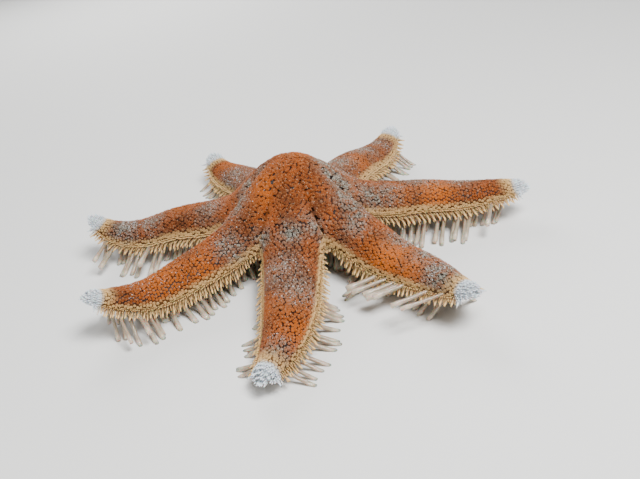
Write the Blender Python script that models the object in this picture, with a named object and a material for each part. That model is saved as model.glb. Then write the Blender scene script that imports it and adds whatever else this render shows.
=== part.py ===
# A seven-armed starfish, life size, as a still model.
# The disc is humped and the arms droop from it, so the animal stands on its tube feet.
# Frame: metres, +Z up, the floor at z = 0, the viewer on the -Y side.
# Arms are numbered by their heading, counter-clockwise seen from above.

import math
import random

import bmesh
import bpy
from mathutils import Vector

# Driving sizes of the body
ARMS = 7
SPACING = 2 * math.pi / ARMS
FIRST_HEADING = math.radians(108)  # of arm 1, from +X towards +Y
DISC_AT = (-0.0018, 0.0021)  # the disc's centre, so that the whole stands centred on the origin
MOUTH_HEIGHT = 0.0102  # from the floor to the underside of the disc
WEB = 0.0140  # from the disc's centre to where an arm stands free
REACH = 0.0520  # from the disc's centre to an arm's end, along the arm
ARM_HALF_WIDTH = 0.0061
WEB_FADE = 0.0030  # how fast the web's width gives way to the arm's
WIDTH_TAPER = (0.20, 0.20, 0.36)  # shares lost to the arm's end: evenly, late, and last of all
THICKNESS = 0.0062
THICKNESS_TAPER = (0.25, 0.15, 0.30)
DOME = 0.0065  # how much thicker the disc is at its centre
DOME_RADIUS = 0.0165
VALLEY_POWER = 1.4  # how far out the valleys between the arms begin on the disc
ARCH = (2.6, 0.55)  # how full an arm's cross-section is over its middle and at its shoulders
MARGIN_SHARE = 0.25  # height of an arm's side wall, as a share of its thickness
UNDER_INSET = 0.08  # how far the underside's edge stands in from the side wall
GROOVE_DEPTH = 0.0016
GROOVE_TAPER = 0.6
GROOVE_SHARE = 0.22  # half width of the groove, as a share of the arm's
FREE_FRAME = 0.0080  # past the web, how far it takes a section to stand square to its arm
END_ROUND = 0.0020  # length of the rounding at an arm's end
END_BLUNT = 0.25  # width of the very end, as a share of the width before the rounding

# Where the body is parted
CUT = 0.0003
DISC_END = 0.0160
ARM_MIDDLE = 0.0320
TIP_START = 0.0480

# Mouth
MOUTH_RADIUS = 0.0031
MOUTH_DEPTH = 0.0024
JAW_TIP = 0.0009  # from the mouth's centre to a jaw's tip
JAW_ROOT = 0.0019
JAW_DROP = 0.0004  # how far the jaws stand below the disc
JAW_CLEAR = 1.5 * CUT
JAW_ROOF_CLEAR = 2 * CUT

# Turn and rise of each arm in degrees, at the web and at each quarter of the free arm
DISC_RISE = -23
TURN = {
    1: (0, 6, 10, 9, 6),
    2: (0, 8, 13, 11, 6),
    3: (0, -2, -3, -4, -5),
    4: (0, 1, -2, -12, -26),
    5: (0, -8, -14, -17, -16),
    6: (0, -6, -11, -14, -14),
    7: (0, -1, -3, -4, -4),
}
RISE = {
    1: (DISC_RISE, -10, -4, 2, 52),
    2: (DISC_RISE, -2, -10, 17, 64),
    3: (DISC_RISE, -7, -5, 23, 41),
    4: (DISC_RISE, -8, -6, -2, 7),
    5: (DISC_RISE, -13, 8, 9, 22),
    6: (DISC_RISE, -3, -5, 8, 11),
    7: (DISC_RISE, -2, -11, 7, 47),
}

# Side spines: one row down each side of each arm
SPINE_LENGTH = 0.0021
SPINE_RADIUS = 0.00030
SPINE_END = 0.00013
SPINE_ROOT = 0.0007  # length sunk in the arm
SPINE_STEP = 0.0014
SPINE_LEAN = 24  # degrees towards the arm's end
SPINE_DROOP = 33  # degrees down
SPINE_STRAY = 4  # degrees
SPINE_GROWTH = (0.92, 1.05)
SPINE_LEVEL = 0.13  # height of a root above the arm's axis, as a share of the thickness
SPINES_START = 0.0170
SPINES_FULL = 0.0225  # where they reach their full length, past the crowded web
SPINES_START_SHARE = 0.40  # their length at the web, as a share of the full length
SPINES_END_SHARE = 0.75  # their length at the arm's end, as a share of the full length
CUT_CLEAR = 0.0006  # from a root's axis to the nearest cut

# The brush of spinelets on a tip
BRUSH = 6
BRUSH_LENGTH = 0.0018
BRUSH_GROWTH = (0.85, 1.15)
BRUSH_RADIUS = 0.00028
BRUSH_SPREAD = 0.75  # how far they turn out, for each part that they point ahead
BRUSH_RING = 0.7  # from the axis to the roots, as a share of the tip's size

# Tube feet: two rows under each arm, here every few feet as one
FOOT_RADIUS = 0.00045
FOOT_NECK = 0.00040
FOOT_END = 0.00062  # radius of the flat a foot stands on
FOOT_ROOT = 0.0006
FOOT_ROW = 0.20  # from the groove's line to a foot's root, as a share of the half width
FOOT_LENGTH = 0.0095  # the furthest a foot stretches
FOOT_STEP = 0.0025
FEET_START = 0.0100
FEET_END = 0.0480
FOOT_SPLAY = 0.0070  # how far to the side of its root a foot stands, in the middle of an arm
SPLAY_START = 0.25  # and under the disc, as a share of that
FOOT_KNEE = (0.45, 0.30)  # shares of the way out and of the way down where a foot bends
# How far down the shin a foot's neck lies where it hangs free
FOOT_HANG = 0.6
FOOT_SPREAD = (0.75, 1.10)
FOOT_FORWARD = (-0.0006, 0.0009)
FOOT_ANKLE = 0.0011  # height above the floor where a foot stands upright
FOOT_FLOOR = 0.0008  # a foot that comes this near to the floor stands on it

# Fineness of the solids
PATH_STEP = 0.00025
CROWN_SHARES = (-1.0, -0.9, -0.55, 0.0, 0.55, 0.9, 1.0)
UNDER_SHARES = (1.0, 0.3, 0.0, -0.3, -1.0)
DISC_STATIONS = (0.0, 0.0031, 0.0033, 0.0060, 0.0090, 0.0118, WEB)
LENGTH_STATIONS = 5
FLAT_WITHIN = 0.00001


def smooth(share):
    share = min(max(share, 0.0), 1.0)
    return share * share * (3 - 2 * share)


def through(values, share):
    """A smooth curve through evenly spaced values, read at a share of the way along it."""
    last = len(values) - 1
    place = min(max(share, 0.0), 1.0) * last
    i = min(int(place), last - 1)
    f = place - i
    ends = (2 * values[0] - values[1], *values, 2 * values[-1] - values[-2])
    a, b, c, d = ends[i : i + 4]
    return b + 0.5 * f * (c - a + f * (2 * a - 5 * b + 4 * c - d + f * (3 * (b - c) + d - a)))


def free_share(s):
    return min(max((s - WEB) / (REACH - WEB), 0.0), 1.0)


def end_rounding(s):
    """One along an arm, falling off as a quarter circle over its rounded end."""
    past = max(s - (REACH - END_ROUND), 0.0) / END_ROUND
    return max(math.sqrt(max(1 - past * past, 0.0)), END_BLUNT)


def tapered(size, taper, s):
    even, late, last = taper
    u = free_share(s)
    return size * (1 - even * u - late * u**2 - last * u**5) * end_rounding(s)


def half_width(s):
    """Half the body's width across an arm, s from the disc's centre."""
    if s < WEB:
        return s * math.tan(SPACING / 2)
    extra = WEB * math.tan(SPACING / 2) - ARM_HALF_WIDTH
    return tapered(ARM_HALF_WIDTH, WIDTH_TAPER, s) + extra * math.exp((WEB - s) / WEB_FADE)


def arm_thickness(s):
    return tapered(THICKNESS, THICKNESS_TAPER, s)


def crown_height(s, t):
    """Height of the upper skin above the arm's axis, t from -1 to 1 across the arm."""
    dome = DOME * (1 - min(s / DOME_RADIUS, 1.0) ** 2) ** 2
    full = arm_thickness(s) + dome
    margin = MARGIN_SHARE * arm_thickness(s)
    middle, shoulder = ARCH
    arch = margin + (full - margin) * max(1 - abs(t) ** middle, 0.0) ** shoulder
    return full + (arch - full) * smooth(min(s / WEB, 1.0) ** VALLEY_POWER)


def groove_height(s, t):
    """Height of the under skin above the arm's axis: the groove, and the hollow for the mouth."""
    if s <= MOUTH_RADIUS:
        return MOUTH_DEPTH
    depth = GROOVE_DEPTH * (1 - GROOVE_TAPER * free_share(s)) * end_rounding(s)
    return depth * math.exp(-((t / GROOVE_SHARE) ** 2))


class Arm:
    """The axis of one arm, sampled from the disc's centre to the arm's end."""

    def __init__(self, number):
        self.number = number
        self.heading = FIRST_HEADING + SPACING * (number - 1)
        self.points = [Vector((*DISC_AT, MOUTH_HEIGHT))]
        for i in range(round(REACH / PATH_STEP)):
            s = (i + 0.5) * PATH_STEP
            along = self.direction(s)
            if s < WEB:
                along = along / Vector((along.x, along.y)).length
            self.points.append(self.points[-1] + along * PATH_STEP)

    def angles(self, s):
        if s < WEB:
            return self.heading, math.radians(DISC_RISE * smooth(s / WEB))
        u = free_share(s)
        turn = through(TURN[self.number], u)
        return self.heading + math.radians(turn), math.radians(through(RISE[self.number], u))

    def direction(self, s):
        heading, rise = self.angles(s)
        flat = math.cos(rise)
        return Vector((flat * math.cos(heading), flat * math.sin(heading), math.sin(rise)))

    def point(self, s):
        place = min(s / PATH_STEP, len(self.points) - 1.001)
        i = int(place)
        return self.points[i].lerp(self.points[i + 1], place - i)

    def frame(self, s):
        """Point, side and up at s. The side points left, looking out along the arm."""
        heading, _ = self.angles(s)
        side = Vector((-math.sin(heading), math.cos(heading), 0))
        square = self.direction(s).cross(side)
        free = smooth((s - WEB) / FREE_FRAME)
        up = (square * free + Vector((0, 0, 1)) * (1 - free)).normalized()
        return self.point(s), side, up

    def at(self, s, across, height):
        point, side, up = self.frame(s)
        return point + side * across + up * height

    def crown(self, s, t):
        return self.at(s, half_width(s) * t, crown_height(s, t))

    def under(self, s, t):
        inset = UNDER_INSET * smooth((s - WEB) / (DISC_END - WEB))
        return self.at(s, half_width(s) * t * (1 - inset), groove_height(s, t))


def add_ring(bm, points):
    return [bm.verts.new(p) for p in points]


def bridge(bm, first, second):
    count = len(first)
    for i in range(count):
        j = (i + 1) % count
        bm.faces.new((first[i], first[j], second[j], second[i]))


def finish_mesh(bm, name, material=None):
    bmesh.ops.remove_doubles(bm, verts=bm.verts, dist=1e-6)
    bmesh.ops.triangulate(bm, faces=bm.faces)
    bmesh.ops.recalc_face_normals(bm, faces=bm.faces)
    mesh = bpy.data.meshes.new(name)
    bm.to_mesh(mesh)
    bm.free()
    if material:
        mesh.materials.append(material)
    return bpy.data.objects.new(name, mesh)


def make_length(arm, name, start, end, material):
    """A length of an arm, from one cut to the next: over the crown and back underneath."""
    bm = bmesh.new()
    rings = []
    for i in range(LENGTH_STATIONS):
        s = start + (end - start) * i / (LENGTH_STATIONS - 1)
        crown = [arm.crown(s, t) for t in CROWN_SHARES]
        under = [arm.under(s, t) for t in UNDER_SHARES]
        rings.append(add_ring(bm, crown + under))
    for first, second in zip(rings, rings[1:]):
        bridge(bm, first, second)
    bm.faces.new(reversed(rings[0]))
    bm.faces.new(rings[-1])
    return finish_mesh(bm, name, material)


def make_mouth(material):
    """Seven jaws in one ring, between the arms, with the grooves running in between them."""
    bm = bmesh.new()
    rings = []
    for height in (MOUTH_HEIGHT - JAW_DROP, MOUTH_HEIGHT + MOUTH_DEPTH - JAW_ROOF_CLEAR):
        outer, inner = [], []
        for i in range(2 * ARMS):
            heading = FIRST_HEADING + SPACING * (i + 1) / 2
            between_arms = i % 2 == 0
            reach = MOUTH_RADIUS - JAW_CLEAR
            if between_arms:
                reach /= math.cos(SPACING / 2)
            gape = JAW_TIP if between_arms else JAW_ROOT
            for ring, radius in ((outer, reach), (inner, gape)):
                x = DISC_AT[0] + radius * math.cos(heading)
                y = DISC_AT[1] + radius * math.sin(heading)
                ring.append(Vector((x, y, height)))
        rings.append((add_ring(bm, outer), add_ring(bm, inner)))
    low, high = rings
    for first, second in ((low[0], low[1]), (low[1], high[1]), (high[1], high[0]), (high[0], low[0])):
        bridge(bm, first, second)
    return finish_mesh(bm, "mouth", material)


def make_disc(arms, material):
    """The disc with a short root for each arm. The arms' sectors meet on the lines between arms."""
    bm = bmesh.new()
    for arm in arms:
        rows = []
        for s in (*DISC_STATIONS, DISC_END):
            crown = add_ring(bm, [arm.crown(s, t) for t in CROWN_SHARES])
            under = add_ring(bm, [arm.under(s, t) for t in UNDER_SHARES])
            rows.append((crown, under))
        for inner, outer in zip(rows, rows[1:]):
            for low, high in zip(inner, outer):
                for i in range(len(low) - 1):
                    bm.faces.new((low[i], low[i + 1], high[i + 1], high[i]))
        web, end = rows[-2], rows[-1]
        bm.faces.new((web[0][0], end[0][0], end[1][-1], web[1][-1]))
        bm.faces.new((web[0][-1], end[0][-1], end[1][0], web[1][0]))
        bm.faces.new((*end[0], *end[1]))
    bmesh.ops.remove_doubles(bm, verts=bm.verts, dist=1e-6)
    bmesh.ops.dissolve_degenerate(bm, edges=bm.edges, dist=1e-7)
    return finish_mesh(bm, "disc", material)


def make_spine(root, direction, length, radius):
    """A tapered four-sided spine, from a root inside the body to its blunt point."""
    bm = bmesh.new()
    turn = direction.to_track_quat("Z", "Y").to_matrix().to_4x4()
    bmesh.ops.create_cone(
        bm, cap_ends=True, segments=4, radius1=radius, radius2=SPINE_END, depth=length + SPINE_ROOT
    )
    bmesh.ops.transform(bm, matrix=turn, verts=bm.verts)
    middle = root + direction * ((length - SPINE_ROOT) / 2)
    bmesh.ops.translate(bm, vec=middle, verts=bm.verts)
    return finish_mesh(bm, "spine")


def side_spines(arm, start, end):
    """The spines whose roots lie on one length of an arm, on both its sides."""
    spines = []
    count = int((REACH - END_ROUND - SPINES_START) / SPINE_STEP)
    for i in range(count):
        s = SPINES_START + i * SPINE_STEP
        if not start + CUT_CLEAR <= s <= end - CUT_CLEAR:
            continue
        along = arm.direction(s)
        _, side, up = arm.frame(s)
        past_web = smooth((s - SPINES_START) / (SPINES_FULL - SPINES_START))
        grown = SPINES_START_SHARE + (1 - SPINES_START_SHARE) * past_web
        grown *= 1 + (SPINES_END_SHARE - 1) * free_share(s) ** 2
        for edge in (1, -1):
            length = SPINE_LENGTH * grown * chance.uniform(*SPINE_GROWTH)
            lean = math.radians(SPINE_LEAN + chance.uniform(-SPINE_STRAY, SPINE_STRAY))
            droop = math.radians(SPINE_DROOP + chance.uniform(-SPINE_STRAY, SPINE_STRAY))
            out = side * (edge * math.cos(lean)) + along * math.sin(lean)
            direction = out * math.cos(droop) - up * math.sin(droop)
            root = arm.at(s, edge * half_width(s), SPINE_LEVEL * arm_thickness(s))
            spines.append(make_spine(root, direction, length, SPINE_RADIUS))
    return spines


def tip_brush(arm):
    """The spinelets that stand out round an arm's end."""
    spinelets = []
    s = REACH - END_ROUND
    along = arm.direction(s)
    _, side, up = arm.frame(s)
    for i in range(BRUSH):
        angle = math.pi * (i + 0.5) / BRUSH
        out = side * math.cos(angle) + up * math.sin(angle)
        across = BRUSH_RING * half_width(s) * math.cos(angle)
        root = arm.at(s, across, BRUSH_RING * arm_thickness(s) * math.sin(angle))
        direction = (along + out * BRUSH_SPREAD).normalized()
        length = BRUSH_LENGTH * chance.uniform(*BRUSH_GROWTH)
        spinelets.append(make_spine(root, direction, length, BRUSH_RADIUS))
    return spinelets


def make_foot(root, end, stands):
    """A tube foot: a soft tube that bends from its root, with a wider flat end."""
    out, down = FOOT_KNEE
    knee = root.lerp(end, out)
    knee.z = root.z + (end.z - root.z) * down
    ankle = knee.lerp(end, FOOT_HANG)
    if stands:
        ankle = end + Vector((0, 0, FOOT_ANKLE))
    curve = bpy.data.curves.new("foot", "CURVE")
    curve.dimensions = "3D"
    curve.bevel_depth = FOOT_RADIUS
    curve.bevel_resolution = 1
    curve.use_fill_caps = True
    spline = curve.splines.new("POLY")
    shape = ((root, 1.0), (knee, 1.0), (ankle, FOOT_NECK / FOOT_RADIUS), (end, FOOT_END / FOOT_RADIUS))
    spline.points.add(len(shape) - 1)
    for point, (place, width) in zip(spline.points, shape):
        point.co = (*place, 1.0)
        point.radius = width
    tube = bpy.data.objects.new("foot", curve)
    collection.objects.link(tube)
    mesh = bpy.data.meshes.new_from_object(tube.evaluated_get(bpy.context.evaluated_depsgraph_get()))
    bpy.data.objects.remove(tube, do_unlink=True)
    bm = bmesh.new()
    bm.from_mesh(mesh)
    for vert in bm.verts:
        if vert.co.z < FLAT_WITHIN:
            vert.co.z = 0.0
    return finish_mesh(bm, "foot")


def feet_between(arm, start, end):
    """The tube feet whose roots lie on one length of an arm. They reach the floor where they can."""
    feet = []
    count = int((FEET_END - FEET_START) / FOOT_STEP) + 1
    for i in range(count):
        s = FEET_START + i * FOOT_STEP
        edge = 1 if (i + arm.number) % 2 else -1
        spread = chance.uniform(*FOOT_SPREAD)
        forward = chance.uniform(*FOOT_FORWARD)
        if not start + FOOT_END + CUT <= s <= end - FOOT_END - CUT:
            continue
        along = arm.direction(s)
        _, side, _ = arm.frame(s)
        row = edge * FOOT_ROW * half_width(s)
        root = arm.at(s, row, groove_height(s, FOOT_ROW) + FOOT_ROOT)
        splay = SPLAY_START + (1 - SPLAY_START) * smooth((s - WEB) / (ARM_MIDDLE - WEB))
        out = row + edge * FOOT_SPLAY * spread * splay
        foot = arm.at(s, out, 0.0) + along * forward
        drop = max(FOOT_LENGTH**2 - (out - row) ** 2, 0.0) ** 0.5
        stands = root.z - drop < FOOT_FLOOR
        foot.z = 0.0 if stands else root.z - drop
        feet.append(make_foot(root, foot, stands))
    return feet


def keep_largest(mesh):
    """Drops every closed surface but the largest, such as a scrap sealed in by the union."""
    bm = bmesh.new()
    bm.from_mesh(mesh)
    left = set(bm.faces)
    surfaces = []
    while left:
        surface, edge = set(), {left.pop()}
        while edge:
            surface |= edge
            edge = {near for face in edge for line in face.edges for near in line.link_faces} - surface
        left -= surface
        surfaces.append(surface)
    surfaces.sort(key=lambda surface: sum(face.calc_area() for face in surface))
    for surface in surfaces[:-1]:
        bmesh.ops.delete(bm, geom=list(surface), context="FACES")
    bm.to_mesh(mesh)
    bm.free()


def fuse(body, pieces):
    """Joins the pieces to the body in one union, then removes them."""
    helpers = bpy.data.collections.new("pieces")
    bpy.context.scene.collection.children.link(helpers)
    for piece in pieces:
        helpers.objects.link(piece)
    union = body.modifiers.new("fuse", "BOOLEAN")
    union.operation = "UNION"
    union.operand_type = "COLLECTION"
    union.collection = helpers
    union.solver = "MANIFOLD"
    view = bpy.context.evaluated_depsgraph_get()
    joined = bpy.data.meshes.new_from_object(body.evaluated_get(view), depsgraph=view)
    body.modifiers.clear()
    body.data = joined
    for piece in pieces:
        bpy.data.objects.remove(piece, do_unlink=True)
    bpy.data.collections.remove(helpers)
    keep_largest(joined)


def make_material(name, colour, roughness):
    material = bpy.data.materials.new(name)
    material.use_nodes = True
    shader = material.node_tree.nodes["Principled BSDF"]
    shader.inputs["Base Color"].default_value = (*colour, 1.0)
    shader.inputs["Roughness"].default_value = roughness
    shader.inputs["Metallic"].default_value = 0.0
    return material


for old in list(bpy.data.objects):
    bpy.data.objects.remove(old, do_unlink=True)
collection = bpy.data.collections.new("starfish")
bpy.context.scene.collection.children.link(collection)
chance = random.Random(7)

orange = make_material("orange_skin", (0.55, 0.20, 0.07), 0.6)
white = make_material("white_tip", (0.80, 0.84, 0.86), 0.5)
cream = make_material("cream_jaws", (0.78, 0.66, 0.42), 0.5)

all_arms = [Arm(number) for number in range(1, ARMS + 1)]
disc = make_disc(all_arms, orange)
collection.objects.link(disc)
fuse(disc, [foot for arm in all_arms for foot in feet_between(arm, 0.0, DISC_END)])
collection.objects.link(make_mouth(cream))
for arm in all_arms:
    for part, start, end, material in (
        ("inner", DISC_END + CUT, ARM_MIDDLE, orange),
        ("outer", ARM_MIDDLE + CUT, TIP_START, orange),
        ("tip", TIP_START + CUT, REACH, white),
    ):
        body = make_length(arm, f"arm_{arm.number}_{part}", start, end, material)
        collection.objects.link(body)
        grown = side_spines(arm, start, end) + feet_between(arm, start, end)
        if part == "tip":
            grown += tip_brush(arm)
        fuse(body, grown)
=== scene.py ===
# %% [markdown]
# # A seven-armed starfish
# This is a young starfish, about as wide as a hand, that creeps on hundreds of soft tube feet.
# Its upper side is packed with thousands of tiny flower-shaped pillars. Biologists call them
# paxillae. Pale spines fringe the arms, and each arm ends in a white tip.
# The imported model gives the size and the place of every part, so it is loaded first and never moved.

import math

import bmesh
import bpy
import numpy as np
from mathutils import Matrix, Vector


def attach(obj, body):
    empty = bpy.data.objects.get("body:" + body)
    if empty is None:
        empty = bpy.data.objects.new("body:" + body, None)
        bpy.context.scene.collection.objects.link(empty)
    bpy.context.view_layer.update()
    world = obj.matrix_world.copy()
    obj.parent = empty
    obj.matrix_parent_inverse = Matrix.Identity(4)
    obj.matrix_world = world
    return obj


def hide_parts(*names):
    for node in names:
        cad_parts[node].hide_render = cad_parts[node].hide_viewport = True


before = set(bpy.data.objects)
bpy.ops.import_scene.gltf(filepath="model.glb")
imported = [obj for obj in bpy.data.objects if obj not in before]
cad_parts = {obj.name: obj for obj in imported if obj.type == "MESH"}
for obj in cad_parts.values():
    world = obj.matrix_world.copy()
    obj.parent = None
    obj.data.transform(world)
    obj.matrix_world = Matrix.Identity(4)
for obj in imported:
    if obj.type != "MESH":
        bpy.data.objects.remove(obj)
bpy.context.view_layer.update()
nodes = sorted(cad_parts)

# %% [markdown]
# ## The body's own coordinates
# Everything on this animal is placed by two numbers and not by x, y and z: how far out along
# an arm it lies, and how far across. One function turns them into a place on the body. The sizes
# below are those of the solids, so each spine and foot lands where the model carries it.
# A sculpted mesh would look as good, but nothing could be repeated on it by rule.

# %% Sizes of the body
ARMS = 7
SPACING = 2 * math.pi / ARMS
FIRST_HEADING = math.radians(108)
DISC_AT = (-0.0018, 0.0021)
MOUTH_HEIGHT = 0.0102
WEB = 0.0140
REACH = 0.0520
ARM_HALF_WIDTH = 0.0061
WEB_FADE = 0.0030
WIDTH_TAPER = (0.20, 0.20, 0.36)
THICKNESS = 0.0062
THICKNESS_TAPER = (0.25, 0.15, 0.30)
DOME = 0.0065
DOME_RADIUS = 0.0165
VALLEY_POWER = 1.4
ARCH = (2.6, 0.55)
MARGIN_SHARE = 0.25
UNDER_INSET = 0.08
UNDER_FREE = 0.0160
GROOVE_DEPTH = 0.0016
GROOVE_TAPER = 0.6
GROOVE_SHARE = 0.22
FREE_FRAME = 0.0080
END_ROUND = 0.0020
END_BLUNT = 0.25
MOUTH_RADIUS = 0.0031
MOUTH_DEPTH = 0.0024
MOUTH_EDGE = 0.0006
DISC_RISE = -23
# Degrees at five even places from the disc's edge to the tip: how far each arm turns, and rises
TURN = {
    1: (0, 6, 10, 9, 6),
    2: (0, 8, 13, 11, 6),
    3: (0, -2, -3, -4, -5),
    4: (0, 1, -2, -12, -26),
    5: (0, -8, -14, -17, -16),
    6: (0, -6, -11, -14, -14),
    7: (0, -1, -3, -4, -4),
}
RISE = {
    1: (DISC_RISE, -10, -4, 2, 52),
    2: (DISC_RISE, -2, -10, 17, 64),
    3: (DISC_RISE, -7, -5, 23, 41),
    4: (DISC_RISE, -8, -6, -2, 7),
    5: (DISC_RISE, -13, 8, 9, 22),
    6: (DISC_RISE, -3, -5, 8, 11),
    7: (DISC_RISE, -2, -11, 7, 47),
}
PATH_STEP = 0.00025


def smooth(share):
    share = np.clip(share, 0.0, 1.0)
    return share * share * (3 - 2 * share)


def through(values, share):
    """A smooth curve through evenly spaced values."""
    last = len(values) - 1
    place = np.clip(share, 0.0, 1.0) * last
    i = np.minimum(place.astype(int), last - 1)
    f = place - i
    ends = np.array([2 * values[0] - values[1], *values, 2 * values[-1] - values[-2]], float)
    a, b, c, d = ends[i], ends[i + 1], ends[i + 2], ends[i + 3]
    return b + 0.5 * f * (c - a + f * (2 * a - 5 * b + 4 * c - d + f * (3 * (b - c) + d - a)))


def free_share(s):
    return np.clip((s - WEB) / (REACH - WEB), 0.0, 1.0)


def tapered(size, taper, s):
    even, late, last = taper
    u = free_share(s)
    past = np.clip((s - (REACH - END_ROUND)) / END_ROUND, 0.0, 1.0)
    rounding = np.maximum(np.sqrt(1 - past**2), END_BLUNT)
    return size * (1 - even * u - late * u**2 - last * u**5) * rounding


def half_width(s):
    extra = WEB * math.tan(SPACING / 2) - ARM_HALF_WIDTH
    arm = tapered(ARM_HALF_WIDTH, WIDTH_TAPER, s) + extra * np.exp(np.minimum(WEB - s, 0) / WEB_FADE)
    return np.where(s < WEB, s * math.tan(SPACING / 2), arm)


def arm_thickness(s):
    return tapered(THICKNESS, THICKNESS_TAPER, s)


def crown_height(s, t):
    dome = DOME * (1 - np.minimum(s / DOME_RADIUS, 1.0) ** 2) ** 2
    full = arm_thickness(s) + dome
    margin = MARGIN_SHARE * arm_thickness(s)
    middle, shoulder = ARCH
    arch = margin + (full - margin) * np.maximum(1 - np.abs(t) ** middle, 0.0) ** shoulder
    return full + (arch - full) * smooth(np.minimum(s / WEB, 1.0) ** VALLEY_POWER)


def groove_height(s, t):
    groove = GROOVE_DEPTH * (1 - GROOVE_TAPER * free_share(s)) * np.exp(-((t / GROOVE_SHARE) ** 2))
    hollow = smooth((MOUTH_RADIUS + MOUTH_EDGE - s) / MOUTH_EDGE)
    return groove * tapered(1.0, (0, 0, 0), s) * (1 - hollow) + MOUTH_DEPTH * hollow


print("an arm is", round(2000 * float(half_width(np.array(0.02))), 1), "mm wide where it leaves the disc")

# %% [markdown]
# ## One arm as a curved line
# An arm hangs from the disc like a bent finger. Its axis is walked in small steps, each turned and
# raised a little, and every place on the skin is then given from that line. A curve object would
# bend as well, but it can't say where a spine's root lies.

# %% The arms' axes
class Arm:
    """The axis of one arm from the disc's centre, and places on and under its skin."""

    def __init__(self, number):
        self.number = number
        self.heading = FIRST_HEADING + SPACING * (number - 1)
        self.s = np.arange(round(REACH / PATH_STEP) + 1) * PATH_STEP
        middle = (self.s[1:] + self.s[:-1]) / 2
        along = self.direction(middle)
        flat = middle < WEB
        along[flat] /= np.linalg.norm(along[flat, :2], axis=1)[:, None]
        start = np.array([[*DISC_AT, MOUTH_HEIGHT]])
        self.line = np.vstack([start, start + np.cumsum(along * PATH_STEP, axis=0)])

    def angles(self, s):
        u = free_share(s)
        turn = np.where(s < WEB, 0.0, through(TURN[self.number], u))
        rise = np.where(s < WEB, DISC_RISE * smooth(s / WEB), through(RISE[self.number], u))
        return self.heading + np.radians(turn), np.radians(rise)

    def direction(self, s):
        heading, rise = self.angles(s)
        flat = np.cos(rise)
        return np.stack([flat * np.cos(heading), flat * np.sin(heading), np.sin(rise)], axis=-1)

    def frame(self, s):
        """Point, side and up at s. The side points left, looking out along the arm."""
        s = np.asarray(s, float)
        heading, _ = self.angles(s)
        point = np.stack([np.interp(s, self.s, self.line[:, i]) for i in range(3)], axis=-1)
        side = np.stack([-np.sin(heading), np.cos(heading), np.zeros_like(heading)], axis=-1)
        free = smooth((s - WEB) / FREE_FRAME)[..., None]
        up = np.cross(self.direction(s), side) * free + np.array([0.0, 0.0, 1.0]) * (1 - free)
        return point, side, up / np.linalg.norm(up, axis=-1, keepdims=True)

    def at(self, s, across, height):
        point, side, up = self.frame(s)
        return point + side * np.asarray(across)[..., None] + up * np.asarray(height)[..., None]

    def crown(self, s, t, sink=0.0):
        """The upper skin, t from -1 to 1 across the arm, sunk by the depth of what covers it."""
        inward = sink * smooth((s - WEB) / (UNDER_FREE - WEB))
        return self.at(s, (half_width(s) - inward) * t, crown_height(s, t) - sink)

    def under(self, s, t, sink=0.0):
        free = smooth((s - WEB) / (UNDER_FREE - WEB))
        across = (half_width(s) - sink * free) * t * (1 - UNDER_INSET * free)
        return self.at(s, across, groove_height(s, t) + sink)

    def wall(self, s, edge, up_share, sink=0.0):
        """The side of the arm, up_share from 0 at its lower edge to 1 at its upper edge."""
        low, high = self.under(s, edge, sink), self.crown(s, edge, sink)
        return low + (high - low) * np.asarray(up_share)[..., None]


arms = [Arm(number) for number in range(1, ARMS + 1)]
print("arm tips stand", [round(1000 * arm.line[-1][2], 1) for arm in arms], "mm above the floor")

# %% [markdown]
# ## Light, floor and camera
# The camera comes early, because every later step is judged through it. It looks down on the
# animal at about thirty degrees and is a little tilted, as a camera held in the hand is. Its lens
# and shift are worked out from how large the animal looks and where it stands in the picture.
# A large soft light from above, a weak one from the left and one from behind stand in for a studio.

# %% Camera
TARGET = Vector((*DISC_AT, 0.009))
CAMERA_DISTANCE = 0.185
CAMERA_ELEVATION = math.radians(27.0)
CAMERA_ROLL = math.radians(-9.7)
PIXELS_PER_METRE = 4500
IMAGE = (640, 479)
SENSOR_WIDTH = 36
NEAREST = 0.005
TARGET_PIXEL = (295.8, 213.2)

forward = Vector((0, math.cos(CAMERA_ELEVATION), -math.sin(CAMERA_ELEVATION)))
level = Vector((1, 0, 0))
upright = level.cross(forward)
right = level * math.cos(CAMERA_ROLL) + upright * math.sin(CAMERA_ROLL)
above = -level * math.sin(CAMERA_ROLL) + upright * math.cos(CAMERA_ROLL)
lens = bpy.data.cameras.new("camera")
lens.sensor_width = SENSOR_WIDTH
lens.lens = lens.sensor_width * PIXELS_PER_METRE * CAMERA_DISTANCE / IMAGE[0]
lens.shift_x = (IMAGE[0] / 2 - TARGET_PIXEL[0]) / IMAGE[0]
lens.shift_y = -(IMAGE[1] / 2 - TARGET_PIXEL[1]) / IMAGE[0]
lens.clip_start = NEAREST
camera = bpy.data.objects.new("camera", lens)
bpy.context.scene.collection.objects.link(camera)
turn = Matrix((right, above, -forward)).transposed().to_4x4()
camera.matrix_world = Matrix.Translation(TARGET - forward * CAMERA_DISTANCE) @ turn
bpy.context.scene.camera = camera
print("lens", round(lens.lens, 1), "mm, shift", round(lens.shift_x, 3), round(lens.shift_y, 3))

# %% Lights and floor
FLOOR_SIZE = 1.2
FLOOR_COLOUR = (0.84, 0.84, 0.82, 1)
FLOOR_ROUGHNESS = 0.8
WORLD_COLOUR = (0.86, 0.88, 0.9, 1)
WORLD_STRENGTH = 0.22
# Name, place, size and watts
LIGHTS = (
    ("key_light", (0.12, -0.16, 0.34), 0.16, 3.0),
    ("fill_light", (-0.30, -0.22, 0.14), 0.30, 0.45),
    ("rim_light", (-0.08, 0.34, 0.20), 0.20, 1.1),
)


def aim(name, place, size, watts):
    data = bpy.data.lights.new(name, "AREA")
    data.size = size
    data.energy = watts
    lamp = bpy.data.objects.new(name, data)
    lamp.location = place
    lamp.rotation_euler = (TARGET - Vector(place)).to_track_quat("-Z", "Y").to_euler()
    bpy.context.scene.collection.objects.link(lamp)


for light in LIGHTS:
    aim(*light)

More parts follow.
